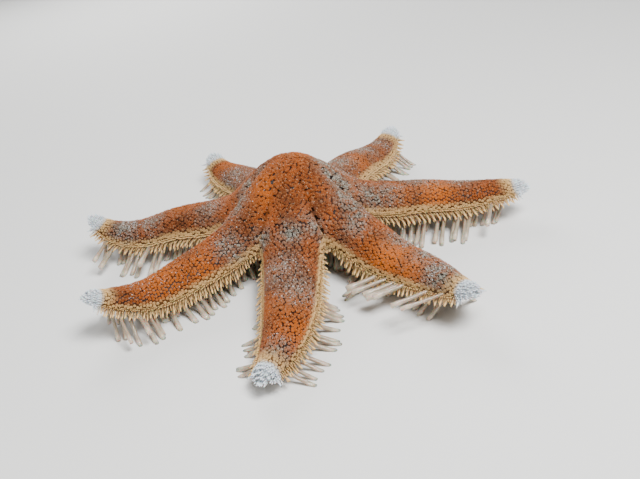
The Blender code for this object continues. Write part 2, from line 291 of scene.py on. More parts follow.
world = bpy.data.worlds.new("studio")
world.use_nodes = True
backdrop = world.node_tree.nodes["Background"]
backdrop.inputs["Color"].default_value = WORLD_COLOUR
backdrop.inputs["Strength"].default_value = WORLD_STRENGTH
bpy.context.scene.world = world

sheet = bmesh.new()
bmesh.ops.create_grid(sheet, x_segments=1, y_segments=1, size=FLOOR_SIZE)
floor_mesh = bpy.data.meshes.new("floor")
sheet.to_mesh(floor_mesh)
sheet.free()
floor = bpy.data.objects.new("floor", floor_mesh)
bpy.context.scene.collection.objects.link(floor)
floor_paint = bpy.data.materials.new("floor paint")
floor_paint.use_nodes = True
floor_shader = floor_paint.node_tree.nodes["Principled BSDF"]
floor_shader.inputs["Base Color"].default_value = FLOOR_COLOUR
floor_shader.inputs["Roughness"].default_value = FLOOR_ROUGHNESS
floor_mesh.materials.append(floor_paint)
print(len(LIGHTS), "lights and a floor of", 2 * FLOOR_SIZE, "m")

# %% [markdown]
# ## Where the markings lie
# The markings belong to the animal and not to one mesh: skin, paxillae and spines at one place
# must show one colour. So each piece stores the same few masks at its points: silt, which has
# settled in patches, the pale margin, the white tip, and how high a point stands out of the gaps,
# which sets the painted shade low down.
# The materials then only mix colours by these masks. Painting an image would do this too, but
# a rule stays sharp at any size.

# %% Masks
# Patches: bearing in degrees, distance and radius in millimetres, and strength
SILT = (
    (4, 7.6, 2.0, 0.9),
    (347, 9.0, 2.4, 1.0),
    (340, 11.2, 2.6, 1.0),
    (325, 14.0, 3.0, 1.0),
    (317, 17.0, 2.6, 0.9),
    (309, 18.6, 2.6, 0.8),
    (20, 11.5, 3.4, 0.8),
    (40, 15.0, 4.5, 0.7),
    (352, 17.0, 3.4, 0.8),
    (358, 21.0, 3.4, 0.6),
    (264, 16.0, 2.3, 1.0),
    (283, 14.5, 2.2, 0.7),
    (240, 16.0, 2.0, 0.9),
    (196, 12.4, 2.4, 0.8),
    (180, 9.6, 2.0, 0.7),
    (178, 6.0, 1.4, 0.5),
    (228, 19.0, 2.0, 0.8),
    (220, 20.0, 2.6, 0.7),
    (190, 18.0, 3.0, 0.6),
    (166, 19.5, 3.4, 0.6),
    (166, 34.0, 3.2, 0.6),
    (168, 41.0, 4.0, 0.8),
    (259, 25.0, 4.4, 0.55),
    (266, 31.0, 4.0, 0.5),
    (261, 46.0, 3.0, 0.6),
    (318, 28.0, 4.0, 0.6),
    (312, 36.0, 3.6, 0.75),
    (306, 43.0, 4.4, 0.9),
    (8, 29.0, 4.6, 0.55),
    (6, 38.0, 4.6, 0.5),
    (58, 22.0, 5.0, 0.7),
    (57, 33.0, 5.0, 0.55),
    (54, 43.0, 4.4, 0.5),
    (118, 30.0, 6.0, 0.6),
    (116, 16.0, 4.0, 0.6),
    (140, 14.0, 3.0, 0.6),
    (90, 14.0, 3.6, 0.6),
)
BRIGHT = (
    (304, 29.0, 5.0, 1.0),
    (303, 36.0, 4.0, 0.8),
    (357, 31.5, 4.0, 1.0),
    (355, 24.0, 3.0, 0.4),
    (214, 34.0, 6.0, 0.7),
    (218, 27.0, 4.0, 0.6),
    (222, 8.0, 3.4, 0.5),
    (30, 3.0, 3.6, 0.35),
    (264, 35.0, 4.0, 0.5),
    (267, 41.0, 4.0, 0.6),
    (50, 26.0, 4.0, 0.5),
    (152, 30.0, 5.0, 0.4),
    (108, 40.0, 5.0, 0.4),
)
CREAM_START = 0.0455
WHITE_START = 0.0487
WHITE_FADE = 0.0012
MARGIN_START = 0.90
MARGIN_FADE = 0.003
UNWRAP_ALONG = (0.03, 0.94)
UNWRAP_LANE = (0.04, 0.92)


def patches_at(points, patches):
    flat = points[:, :2] - np.array(DISC_AT)
    mask = np.zeros(len(points))
    for bearing, distance, radius, strength in patches:
        angle = math.radians(bearing)
        centre = np.array([math.cos(angle), math.sin(angle)]) * distance / 1000
        away = np.linalg.norm(flat - centre, axis=1) * 1000 / radius
        mask = np.maximum(mask, strength * np.exp(-(away**2)))
    return mask


def masks_at(points, s, across):
    """Silt, margin and tip at points of the body. Across runs from 0 on the arm's line to 1 at its side."""
    cream = smooth((s - CREAM_START) / (WHITE_START - CREAM_START))
    edge = smooth((np.abs(across) - MARGIN_START) / (1 - MARGIN_START))
    edge = edge * smooth((s - WEB + MARGIN_FADE) / MARGIN_FADE)
    return {
        "silt": patches_at(points, SILT),
        "bright": patches_at(points, BRIGHT),
        "margin": np.maximum(edge, cream),
        "tip": smooth((s - WHITE_START) / WHITE_FADE),
    }


def unwrap(arm, s, around):
    """The body's own unwrap: out along the arm, and around it in one lane for each arm."""
    u = UNWRAP_ALONG[0] + UNWRAP_ALONG[1] * s / REACH
    v = (arm.number - 1 + UNWRAP_LANE[0] + UNWRAP_LANE[1] * around) / ARMS
    return np.stack([u, v], axis=-1)


print(len(SILT), "patches of silt and", len(BRIGHT), "of bright orange")

# %% [markdown]
# ## The skin
# One skin covers the disc and the arms, so that no seam shows. It lies just inside the solids,
# by the height of the paxillae. A flat grid is laid on each surface like a cloth: the upper side,
# the underside and the two sides of each arm. The edges share their places, so merging doubles
# closes the whole body. A loft of hand-made rings would give the same, with more bookkeeping.

# %% Lay the grids
COAT = 0.00034
COLUMNS = 130
WEB_COLUMN = 35
CROWN_ROWS = 26
UNDER_ROWS = 20
WALL_ROWS = 3
MERGE = 2e-6
SLIVER = 1e-6
MASKS = ("silt", "bright", "margin", "tip", "rise", "tint")
# How far the skin itself stands out of the gaps, from 0 to 1, which sets its painted shade, and its tint
CROWN_SHADE_RISE = 0.04
UNDER_SHADE_RISE = 0.45
WALL_SHADE_RISE = 0.5
SKIN_TINT = 0.5
UNDER_TINT = 0.4


def along_arm(u):
    return np.interp(u, [0, WEB_COLUMN / COLUMNS, 1], [0, WEB, REACH])


def lay_grid(bm, columns, rows, place, masks):
    """Adds a flat grid to the bmesh and lays it on the surface that place gives."""
    made = bmesh.ops.create_grid(bm, x_segments=columns, y_segments=rows, size=0.5)["verts"]
    flat = np.array([vert.co[:2] for vert in made]) + 0.5
    points = place(flat[:, 0], flat[:, 1])
    found = masks(points, flat[:, 0], flat[:, 1])
    layers = {name: bm.verts.layers.float[name] for name in MASKS}
    for i, vert in enumerate(made):
        vert.co = points[i]
        for name, layer in layers.items():
            vert[layer] = found[name][i]


skin_form = bmesh.new()
for name in MASKS:
    skin_form.verts.layers.float.new(name)


def crown_masks(points, u, v):
    found = masks_at(points, along_arm(u), np.sin((v - 0.5) * np.pi))
    return {**found, "rise": CROWN_SHADE_RISE + 0 * u, "tint": SKIN_TINT + 0 * u}


def under_masks(points, u, v):
    found = masks_at(points, along_arm(u), 1 + 0 * u)
    return {**found, "margin": 1 + 0 * u, "rise": UNDER_SHADE_RISE + 0 * u, "tint": UNDER_TINT + 0 * u}


def wall_masks(points, u, v):
    s = WEB + (REACH - WEB) * u
    found = masks_at(points, s, 1 + 0 * u)
    return {**found, "rise": WALL_SHADE_RISE + 0 * u, "tint": SKIN_TINT + 0 * u}


for arm in arms:
    lay_grid(
        skin_form,
        COLUMNS,
        CROWN_ROWS,
        lambda u, v: arm.crown(along_arm(u), np.sin((v - 0.5) * np.pi), COAT),
        crown_masks,
    )
    lay_grid(
        skin_form,
        COLUMNS,
        UNDER_ROWS,
        lambda u, v: arm.under(along_arm(u), 2 * v - 1, COAT),
        under_masks,
    )
    for edge in (1.0, -1.0):
        lay_grid(
            skin_form,
            COLUMNS - WEB_COLUMN,
            WALL_ROWS,
            lambda u, v: arm.wall(WEB + (REACH - WEB) * u, edge, v, COAT),
            wall_masks,
        )
bmesh.ops.remove_doubles(skin_form, verts=skin_form.verts, dist=MERGE)
bmesh.ops.dissolve_degenerate(skin_form, edges=skin_form.edges, dist=SLIVER)
open_edges = [edge for edge in skin_form.edges if edge.is_boundary]
bmesh.ops.holes_fill(skin_form, edges=open_edges)
bmesh.ops.recalc_face_normals(skin_form, faces=skin_form.faces)
print(len(open_edges), "open edges at the arm ends, then", sum(e.is_boundary for e in skin_form.edges))
print(sum(not e.is_manifold for e in skin_form.edges), "edges not shared by two faces")

# %% Finish the skin
def finish(name, mesh, material, slot, *replaced):
    """Makes the mesh a smooth-shaded piece that rides on the body."""
    mesh.materials.append(material)
    mesh.shade_smooth()
    piece = bpy.data.objects.new(name, mesh)
    bpy.context.scene.collection.objects.link(piece)
    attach(piece, "root")
    if replaced:
        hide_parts(*replaced)
    print(name, len(mesh.polygons), "faces")


coat_paint = bpy.data.materials.new("orange skin")
spine_paint = bpy.data.materials.new("cream spine")
foot_paint = bpy.data.materials.new("tube foot")
sand_paint = bpy.data.materials.new("sand grain")

skin_mesh = bpy.data.meshes.new("skin")
skin_form.to_mesh(skin_mesh)
skin_form.free()
finish("skin", skin_mesh, coat_paint, "skin", *[node for node in nodes if node != "mouth"])

# %% [markdown]
# ## Many small things at once
# Thousands of paxillae and spines would choke the file as separate objects. Each kind is modelled
# once, as a small shape of a few dozen faces, and then stamped into one mesh with arrays: every
# copy is the shape's points times its own three axes, plus its root. Instances would be lighter,
# but an exported model needs real geometry.

# %% The stamp
PATCH = 0.003
PATCH_TOP = 1.05


class Shape:
    """A small shape as arrays: points, faces, a patch of unwrap, and each point's own masks."""

    def __init__(self, bm):
        bmesh.ops.recalc_face_normals(bm, faces=bm.faces)
        bm.verts.index_update()
        self.points = np.array([vert.co[:] for vert in bm.verts])
        self.faces = [[vert.index for vert in face.verts] for face in bm.faces]
        grain = bm.verts.layers.float.get("grain")
        self.grain = np.array([vert[grain] if grain else 0.0 for vert in bm.verts])
        bm.free()
        low, high = self.points[:, 2].min(), self.points[:, 2].max()
        self.rise = (self.points[:, 2] - low) / (high - low)
        turn = np.arctan2(self.points[:, 1], self.points[:, 0])
        outward = np.stack([np.cos(turn), np.sin(turn)], axis=1)
        self.patch = outward * (PATCH_TOP - self.rise)[:, None] * PATCH / 2


def stamp(name, shape, places, material, slot):
    """One mesh of many copies. Places holds the copies' roots, axes, unwrap and masks."""
    count, size = len(places["unwrap"]), len(shape.points)
    if "bend" in places:
        points = places["bend"]
    else:
        points = places["root"][:, None, :] + np.einsum("nk,mkc->mnc", shape.points, places["axes"])
    corners = np.concatenate([np.array(face) for face in shape.faces])
    sizes = np.array([len(face) for face in shape.faces])
    loops = (corners[None, :] + size * np.arange(count)[:, None]).ravel()
    starts = np.concatenate([[0], np.cumsum(np.tile(sizes, count))[:-1]])
    mesh = bpy.data.meshes.new(name)
    mesh.vertices.add(count * size)
    mesh.vertices.foreach_set("co", points.astype(np.float32).ravel())
    mesh.loops.add(len(loops))
    mesh.loops.foreach_set("vertex_index", loops.astype(np.int32))
    mesh.polygons.add(len(starts))
    mesh.polygons.foreach_set("loop_start", starts.astype(np.int32))
    mesh.update(calc_edges=True)
    patch = places["unwrap"][:, None, :] + shape.patch[None, :, :]
    uv = mesh.uv_layers.new(name="OFBake")
    uv.data.foreach_set("uv", patch.reshape(-1, 2)[loops].astype(np.float32).ravel())
    for mask in MASKS:
        # The rise of each point in its shape; the flesh paints shade on the low points by it.
        values = shape.rise[None, :] if mask == "rise" else places[mask][:, None]
        if mask == "tint":
            values = (values + shape.grain[None, :]) % 1.0
        layer = mesh.attributes.new(mask, "FLOAT", "POINT")
        layer.data.foreach_set("value", np.broadcast_to(values, (count, size)).astype(np.float32).ravel())
    mesh.validate()
    finish(name, mesh, material, slot)


def unit(vectors):
    return vectors / np.linalg.norm(vectors, axis=-1, keepdims=True)


def standing(direction, towards, width, height):
    """Axes of copies that stand along a direction, with their flat side turned towards another."""
    z = unit(direction)
    y = unit(np.cross(z, towards))
    x = np.cross(y, z)
    width, height = np.asarray(width)[..., None], np.asarray(height)[..., None]
    return np.stack([x * width, y * width, z * height], axis=-2)


def gather(parts):
    """Joins the places of several rows or arms into one set."""
    return {key: np.concatenate([part[key] for part in parts]) for key in parts[0]}


chance = np.random.default_rng(7)
print("a stamped copy takes a patch", PATCH, "across on the unwrap")

# %% [markdown]
# ## Paxillae
# Each paxilla is a tiny pillar with a crown of blunt spinelets, like a flower less than a
# millimetre across. The crowns touch, and only the corners between them stay open: these are the
# dark dots on the arms, where the skin below is painted nearly black as shade. A crown is a low
# drum with one bead in the middle and a ring of beads round it, and its low parts get painted
# shade too. Each bead has its own tint, which gives the flesh its fine grain. A bump texture would
# be quicker, but from the side it shows a smooth arm with no crowns.

# %% One paxilla
# All in half widths of the crown, with the height as 1
DRUM_SIDES = 8
DRUM = (0.66, 0.88, 0.62)
RING_BEADS = 6
RING_AWAY = 0.64
RING_BEAD = 0.27
MIDDLE_BEAD = 0.30
BEAD_SIDES = 5
BEAD_TAPER = 0.6
BEAD_HEIGHT = 0.5
BEAD_LEAN = 24


def open_cone(bm, sides, foot_radius, top_radius, height, matrix):
    """A cone with a flat top and no face underneath, where it stands in the flesh."""
    made = bmesh.ops.create_cone(
        bm, cap_ends=True, segments=sides, radius1=foot_radius, radius2=top_radius, depth=height
    )["verts"]
    foot = next(face for face in made[0].link_faces if len(face.verts) == sides and face.normal.z < -0.5)
    bmesh.ops.delete(bm, geom=[foot], context="FACES_ONLY")
    bmesh.ops.translate(bm, vec=(0, 0, height / 2), verts=made)
    bmesh.ops.transform(bm, matrix=matrix, verts=made)
    return made


def paxilla_shape():
    bm = bmesh.new()
    grain = bm.verts.layers.float.new("grain")
    open_cone(bm, DRUM_SIDES, *DRUM, Matrix.Identity(4))
    beads = [(0.0, 0.0, MIDDLE_BEAD)]
    beads += [(RING_AWAY, 2 * math.pi * i / RING_BEADS, RING_BEAD) for i in range(RING_BEADS)]
    for i, (away, turn, radius) in enumerate(beads):
        place = Matrix.Rotation(turn, 4, "Z") @ Matrix.Translation((away, 0, BEAD_HEIGHT))
        lean = Matrix.Rotation(math.radians(BEAD_LEAN if away else 0), 4, "Y")
        for vert in open_cone(bm, BEAD_SIDES, radius, BEAD_TAPER * radius, BEAD_HEIGHT, place @ lean):
            vert[grain] = (i + 1) / (len(beads) + 1)
    return Shape(bm)


paxilla = paxilla_shape()
print("a paxilla has", len(paxilla.faces), "faces")

# %% [markdown]
# ## Where the paxillae stand
# On the arms they stand in rows, each over a gap of the last, as tiles do. On the disc there are no
# rows, so their places follow the spiral of a sunflower's seeds, which keeps them even all round.
# Points scattered by chance would leave bald spots and heaps.

# %% Rows on the arms
PAXILLA_STEP = 0.00076
PAXILLA_SHRINK = 0.28
ROW_SHARE = math.cos(math.pi / 6)  # from row to row, where each stands over a gap of the last
ACROSS_SAMPLES = 121
ROWS_END = 0.0006
NUDGE = 2e-5
SIDE_NUDGE = 0.004
SIDE_LIMIT = 0.995


def crown_normal(arm, s, t):
    out = arm.crown(s + NUDGE, t, COAT) - arm.crown(s - NUDGE, t, COAT)
    inside = np.clip(t, -SIDE_LIMIT, SIDE_LIMIT)
    across = arm.crown(s, inside + SIDE_NUDGE, COAT) - arm.crown(s, inside - SIDE_NUDGE, COAT)
    return unit(np.cross(out, across)), unit(out)


def spacing_at(s):
    return PAXILLA_STEP * (1 - PAXILLA_SHRINK * free_share(s) ** 2)


def stations(arm):
    """Places along the free arm, one row of paxillae apart on the skin itself."""
    s = np.linspace(WEB, REACH - ROWS_END, 1200)
    ridge = arm.crown(s, 0.3 + 0 * s, COAT)
    step = np.linalg.norm(np.diff(ridge, axis=0), axis=1)
    length = np.concatenate([[0], np.cumsum(step / spacing_at((s[1:] + s[:-1]) / 2) / ROW_SHARE)])
    return np.interp(np.arange(0.3, length[-1]), length, s)


def rows_on_arm(arm):
    found = []
    turns = np.sin(np.linspace(-0.5, 0.5, ACROSS_SAMPLES) * np.pi)
    for number, s in enumerate(stations(arm)):
        line = arm.crown(s + 0 * turns, turns, COAT)
        arc = np.concatenate([[0], np.cumsum(np.linalg.norm(np.diff(line, axis=0), axis=1))])
        count = round(arc[-1] / spacing_at(s))
        shift = 0.5 * (number % 2)
        places = (np.arange(count - number % 2) + 0.5 + shift) / count
        across = np.interp(places * arc[-1], arc, turns)
        found.append(np.stack([s + 0 * places, across, places / 2], axis=1))
    return np.concatenate(found)


# %% A spiral on the disc
GOLDEN_ANGLE = math.pi * (3 - math.sqrt(5))
DISC_STEP = 0.00066


def spiral_on_disc():
    """Bearings and distances of evenly spread places, by the rule of a sunflower's seeds."""
    radius = np.linspace(0, WEB / math.cos(SPACING / 2), 400)
    slope = np.linalg.norm(np.diff(arms[0].crown(radius, 0 * radius, COAT), axis=0), axis=1)
    area = np.concatenate([[0], np.cumsum(np.pi * (radius[1:] + radius[:-1]) * slope)])
    cell = ROW_SHARE * DISC_STEP**2
    number = np.arange(0.5, area[-1] / cell)
    return number * GOLDEN_ANGLE, np.interp(number * cell, area, radius)


def spiral_in_sector(arm):
    bearing, distance = spiral_on_disc()
    along = distance * np.cos(bearing - arm.heading)
    across = distance * np.sin(bearing - arm.heading) / np.maximum(along * math.tan(SPACING / 2), 1e-6)
    mine = (along > 0) & (np.abs(across) <= 1) & (along < WEB - 0.3 * PAXILLA_STEP)
    return np.stack([along, across, 0.25 + 0.25 * across], axis=1)[mine]


print(len(spiral_on_disc()[0]), "paxillae on the disc")

# %% Stamp the paxillae
# How far a paxilla strays from its place, in steps: on the arms, and on the disc and the ridges
ORDERLY = 0.07
UNRULY = 0.20
UNRULY_TO = 0.008
UNRULY_FADE = 0.014
PAXILLA_WIDTH = 0.515
WIDTH_RANGE = (0.90, 1.08)
HEIGHT_RANGE = (0.85, 1.30)
STRETCH_STEP = 0.02
MOST_WIDENING = 1.45


def widening(arm, s, t):
    """Wider crowns where the disc falls steeply into the valleys between the arms."""
    left = np.clip(t - STRETCH_STEP, -1, 1)
    right = np.clip(t + STRETCH_STEP, -1, 1)
    way = np.linalg.norm(arm.crown(s, right, COAT) - arm.crown(s, left, COAT), axis=1)
    stretch = way / ((right - left) * np.maximum(half_width(s), PAXILLA_STEP))
    return np.where(s < WEB, np.clip(np.sqrt(stretch), 1, MOST_WIDENING), 1)


def paxilla_places(arm):
    s, t, around = np.concatenate([spiral_in_sector(arm), rows_on_arm(arm)]).T
    disorder = np.maximum(1 - smooth((s - UNRULY_TO) / UNRULY_FADE), 1 - np.abs(t) ** 2)
    stray = ORDERLY + (UNRULY - ORDERLY) * disorder
    s = s + chance.uniform(-1, 1, len(s)) * stray * PAXILLA_STEP
    t = t + chance.uniform(-1, 1, len(s)) * stray * PAXILLA_STEP / np.maximum(half_width(s), PAXILLA_STEP)
    s, t = np.clip(s, 0.0001, REACH), np.clip(t, -1, 1)
    normal, out = crown_normal(arm, s, t)
    spin = chance.uniform(0, 2 * np.pi, len(s))[:, None]
    root = arm.crown(s, t, COAT)
    width = spacing_at(s) * PAXILLA_WIDTH * widening(arm, s, t) * chance.uniform(*WIDTH_RANGE, len(s))
    return {
        "root": root,
        "axes": standing(
            normal,
            out * np.cos(spin) + np.cross(normal, out) * np.sin(spin),
            width,
            COAT * chance.uniform(*HEIGHT_RANGE, len(s)),
        ),
        "unwrap": unwrap(arm, s, around),
        **masks_at(root, s, t),
        "tint": chance.uniform(0, 1, len(s)),
    }


for arm in arms:
    stamp(f"paxillae_{arm.number}", paxilla, paxilla_places(arm), coat_paint, "skin")

# %% [markdown]
# ## Spines
# The fringe is what names this animal from a step away. Each side plate carries one long flat
# spine that points out, down and a little towards the arm's end, with shorter rows above and below.
# A spine is a slim cone with one ring near its end, widened so that it keeps its width and then
# tapers. Curves with a round profile would do too, but each would need many more faces.

# %% One spine
SPINE_SIDES = 6
SPINE_END = 0.45
SPINE_RING = 0.8
SPINE_SWELL = 1.35


def spine_shape():
    bm = bmesh.new()
    open_cone(bm, SPINE_SIDES, 1.0, SPINE_END, 1.0, Matrix.Identity(4))
    cut = bmesh.ops.bisect_plane(
        bm, geom=bm.verts[:] + bm.edges[:] + bm.faces[:], plane_co=(0, 0, SPINE_RING), plane_no=(0, 0, 1)
    )["geom_cut"]
    ring = [part for part in cut if isinstance(part, bmesh.types.BMVert)]
    bmesh.ops.scale(bm, vec=(SPINE_SWELL, SPINE_SWELL, 1.0), verts=ring)
    return Shape(bm)


spine = spine_shape()
print("a spine has", len(spine.faces), "faces")

# %% Rows of spines
PLATE_STEP = 0.00120
SPINES_START = 0.0146
SPINES_FULL = 0.0215
SPINES_START_SHARE = 0.35
SPINES_END_SHARE = 0.72
SPINES_STOP = 0.0012
ANGLE_STRAY = 4
WALL_LANE = 0.07
# Rows from top to bottom: share up the side wall, length, radius, lean along the arm, droop,
# spines per plate, and where in its plate the first one stands
ROWS = (
    (1.00, 0.0007, 0.00010, 45, -30, 3, 0.2),
    (0.84, 0.0010, 0.00011, 38, -8, 3, 0.0),
    (0.60, 0.0025, 0.00026, 26, 28, 1, 0.5),
    (0.52, 0.0012, 0.00011, 34, 18, 2, 0.0),
    (0.22, 0.0023, 0.00022, 22, 50, 1, 0.0),
    (0.16, 0.0011, 0.00011, 24, 52, 2, 0.3),
    (0.00, 0.0015, 0.00017, 16, 68, 1, 0.5),
)


def row_places(arm, edge, up_share, length, radius, lean, droop, per_plate, shift):
    step = PLATE_STEP / per_plate
    count = int((REACH - SPINES_STOP - SPINES_START) / step)
    s = SPINES_START + (np.arange(count) + shift) * step + chance.uniform(-0.08, 0.08, count) * step
    root = arm.wall(s, edge, np.clip(up_share + chance.uniform(-0.04, 0.04, count), 0, 1), COAT)
    _, side, up = arm.frame(s)
    along = arm.direction(s)
    lean = np.radians(lean + chance.normal(0, ANGLE_STRAY, count))[:, None]
    droop = np.radians(droop + chance.normal(0, ANGLE_STRAY, count))[:, None]
    out = side * edge * np.cos(lean) + along * np.sin(lean)
    direction = out * np.cos(droop) - up * np.sin(droop)
    full = smooth((s - SPINES_START) / (SPINES_FULL - SPINES_START))
    grown = SPINES_START_SHARE + (1 - SPINES_START_SHARE) * full
    grown = grown * (1 + (SPINES_END_SHARE - 1) * free_share(s) ** 2)
    tall = (length * grown + COAT) * chance.uniform(0.88, 1.1, count)
    thick = radius * (0.75 + 0.25 * grown)
    masks = masks_at(root, s, 1 + 0 * s)
    around = 0.5 + WALL_LANE * (1 - up_share) if edge > 0 else 1 - WALL_LANE * (1 - up_share)
    return {
        "root": root,
        "axes": standing(direction, along, thick, tall),
        "unwrap": unwrap(arm, s, around + 0 * s),
        **masks,
        "silt": masks["silt"] * 0.5,
        "tint": chance.uniform(0, 1, count),
    }


for arm in arms:
    rows = [row_places(arm, edge, *row) for edge in (1.0, -1.0) for row in ROWS]
    stamp(f"fringe_{arm.number}", spine, gather(rows), spine_paint, "fringe")

# %% [markdown]
# ## The tips
# An arm ends in a white brush: blunt spinelets in rings round the small end plate. They are the
# spine's shape again, short and close, and they stray a little so that no ring shows. Particle
# hair would be softer, but an exported model needs a real mesh.

# %% White brushes
# Rings: how many, how far from the axis, how far behind the end, how far they turn out, length
BRUSH_RINGS = (
    (8, 0.40, 0.0004, 0.06, 0.0013),
    (12, 0.68, 0.0008, 0.14, 0.0014),
    (15, 0.88, 0.0013, 0.22, 0.0014),
    (17, 0.98, 0.0019, 0.30, 0.0012),
    (18, 1.00, 0.0025, 0.36, 0.0010),
)
BRUSH_RADIUS = 0.00018
BRUSH_STRAY = 0.0004


def brush_places(arm):
    parts = []
    for count, ring, behind, spread, length in BRUSH_RINGS:
        s = REACH - behind - chance.uniform(-0.5, 0.5, count) * BRUSH_STRAY
        angle = np.pi * (np.arange(count) + chance.uniform(0.2, 0.8, count)) / count
        _, side, up = arm.frame(s)
        along = arm.direction(s)
        across = ring * half_width(s) * np.cos(angle)
        root = arm.at(s, across, ring * crown_height(s, 0 * s) * np.sin(angle) - COAT)
        out = side * np.cos(angle)[:, None] + up * np.sin(angle)[:, None]
        direction = along + out * spread * chance.uniform(0.85, 1.15, (count, 1))
        tall = length * chance.uniform(0.85, 1.1, count)
        masks = masks_at(root, s, 0 * s)
        parts.append({
            "root": root,
            "axes": standing(direction, side, BRUSH_RADIUS + 0 * s, tall),
            "unwrap": unwrap(arm, s, angle / np.pi / 2),
            **masks,
            "tip": 1 + 0 * s,
            "silt": 0 * s,
            "tint": chance.uniform(0, 1, count),
        })
    return gather(parts)


stamp("tip_brushes", spine, gather([brush_places(arm) for arm in arms]), spine_paint, "tip")

# %% [markdown]
# ## Underside
# Two rows of small spines guard each side of the groove where the feet come out, and low pegs
# cover the rest of the underside. It is hardly seen, so the spine's shape serves once more, in
# plain rows. Leaving it smooth would be simpler, but then a turned model would look unfinished.

# %% Groove spines and pegs
# Rows: share across the underside, step, length, radius, lean outwards
UNDER_SPINES = (
    (0.30, 0.00070, 0.0011, 0.00013, -18),
    (0.40, 0.00085, 0.0009, 0.00013, 4),
    (0.52, 0.00100, 0.0006, 0.00015, 10),
    (0.64, 0.00100, 0.0006, 0.00015, 14),
    (0.76, 0.00100, 0.0008, 0.00015, 22),
    (0.88, 0.00100, 0.0011, 0.00016, 34),
)


GUARD_SHARE = 0.45
GUARDS_START = 0.0044
PEGS_START = 0.0075
UNDER_STOP = 0.001


def under_places(arm, edge, share, step, length, radius, lean):
    start = GUARDS_START if share < GUARD_SHARE else PEGS_START
    s = np.arange(start, REACH - UNDER_STOP, step)
    s = s + chance.uniform(-0.15, 0.15, len(s)) * step
    t = edge * (share + chance.uniform(-0.03, 0.03, len(s)))
    root = arm.under(s, t, COAT)
    _, side, up = arm.frame(s)
    lean = np.radians(lean + chance.normal(0, 5, len(s)))[:, None]
    direction = side * edge * np.sin(lean) - up * np.cos(lean)
    small = 1 - 0.35 * free_share(s)
    masks = masks_at(root, s, 1 + 0 * s)
    around = 0.57 + 0.36 * (0.5 - 0.5 * t)
    return {
        "root": root,
        "axes": standing(direction, arm.direction(s), radius * small, (length + COAT) * small),
        "unwrap": unwrap(arm, s, around),
        **masks,
        "margin": 1 + 0 * s,
        "silt": 0 * s,
        "tint": chance.uniform(0, 1, len(s)),
    }


rows = [under_places(arm, edge, *row) for arm in arms for edge in (1.0, -1.0) for row in UNDER_SPINES]
stamp("under_spines", spine, gather(rows), spine_paint, "skin")

# %% [markdown]
# ## Tube feet
# The feet are soft, clear tubes with a blunt paler end. They splay out from the groove, and the
# ones that reach the floor stand on it. A tube with eight sides is extruded ring by ring, and then
# each copy is bent along its own curve from root to end. One bent foot, turned and copied, would
# be simpler, but feet that all bend alike look like a comb.

# %% One foot
FOOT_SIDES = 8
FOOT_RINGS = 7


def foot_shape():
    bm = bmesh.new()
    edges = bmesh.ops.create_circle(bm, segments=FOOT_SIDES, radius=1.0, cap_ends=False)["verts"]
    ring = list({edge for vert in edges for edge in vert.link_edges})
    for _ in range(FOOT_RINGS):
        made = bmesh.ops.extrude_edge_only(bm, edges=ring)["geom"]
        new = [part for part in made if isinstance(part, bmesh.types.BMVert)]
        bmesh.ops.translate(bm, vec=(0, 0, 1 / FOOT_RINGS), verts=new)
        ring = [part for part in made if isinstance(part, bmesh.types.BMEdge)]
        ring = [edge for edge in ring if all(vert in new for vert in edge.verts)]
    bmesh.ops.edgeloop_fill(bm, edges=ring)
    return Shape(bm)


foot = foot_shape()
print("a foot has", len(foot.faces), "faces")

# %% Rows of feet
FOOT_RADIUS = 0.00050
FOOT_END = 0.00062
FOOT_STEP = 0.00125
FOOT_LENGTH = 0.0098
FOOT_ROW = 0.16
FOOT_SINK = 0.0004
FEET_START = 0.0050
FEET_END = 0.0495
SPLAY_GROWTH = 0.018
SPLAY_LENGTH = 0.0035
SPLAYED = 0.55
HELD_IN = 0.3
LEAST_DROP = 0.001
# For each arm: how far its feet drift along it, and how far they splay to its left and right
REACHES = {
    1: (0.0010, 0.0075, 0.0070),
    2: (0.0022, 0.0100, 0.0070),
    3: (0.0000, 0.0082, 0.0075),
    4: (-0.0004, 0.0080, 0.0080),
    5: (-0.0030, 0.0070, 0.0118),
    6: (-0.0026, 0.0070, 0.0100),
    7: (-0.0006, 0.0070, 0.0080),
}


def foot_places(arm):
    count = int((FEET_END - FEET_START) / FOOT_STEP)
    s = np.repeat(FEET_START + np.arange(count) * FOOT_STEP, 2)
    edge = np.tile([1.0, -1.0], count)
    s = s + chance.uniform(-0.2, 0.2, len(s)) * FOOT_STEP
    row = edge * FOOT_ROW * half_width(s)
    root = arm.at(s, row, groove_height(s, FOOT_ROW) + FOOT_SINK)
    drift, left, right = REACHES[arm.number]
    free = smooth((s - WEB) / SPLAY_GROWTH)
    splay = (0.2 + 0.8 * free) * np.where(chance.uniform(0, 1, len(s)) < SPLAYED, 1.0, HELD_IN)
    out = row + edge * np.where(edge > 0, left, right) * splay * chance.uniform(0.8, 1.08, len(s))
    along = drift * free + chance.uniform(-0.0007, 0.0007, len(s))
    end = arm.at(s, out, 0 * s) + arm.direction(s) * along[:, None]
    length = (FOOT_LENGTH + SPLAY_LENGTH * splay) * (1 - 0.35 * free_share(s) ** 2)
    length = length * chance.uniform(0.85, 1.05, len(s))
    drop = np.sqrt(np.maximum(length**2 - (out - row) ** 2, LEAST_DROP**2))
    end[:, 2] = np.maximum(root[:, 2] - drop, 0.0)
    knee = root + (end - root) * 0.5
    knee[:, 2] = root[:, 2] + (end[:, 2] - root[:, 2]) * chance.uniform(0.50, 0.80, len(s))
    thick = FOOT_RADIUS * (1 - 0.35 * free_share(s) ** 3) * chance.uniform(0.85, 1.1, len(s))
    return {
        "bend": bent_tubes(root, knee, end, thick),
        "unwrap": unwrap(arm, s, 0.75 - 0.03 * edge),
        **masks_at(root, s, 1 + 0 * s),
        "tint": chance.uniform(0, 1, len(s)),
    }


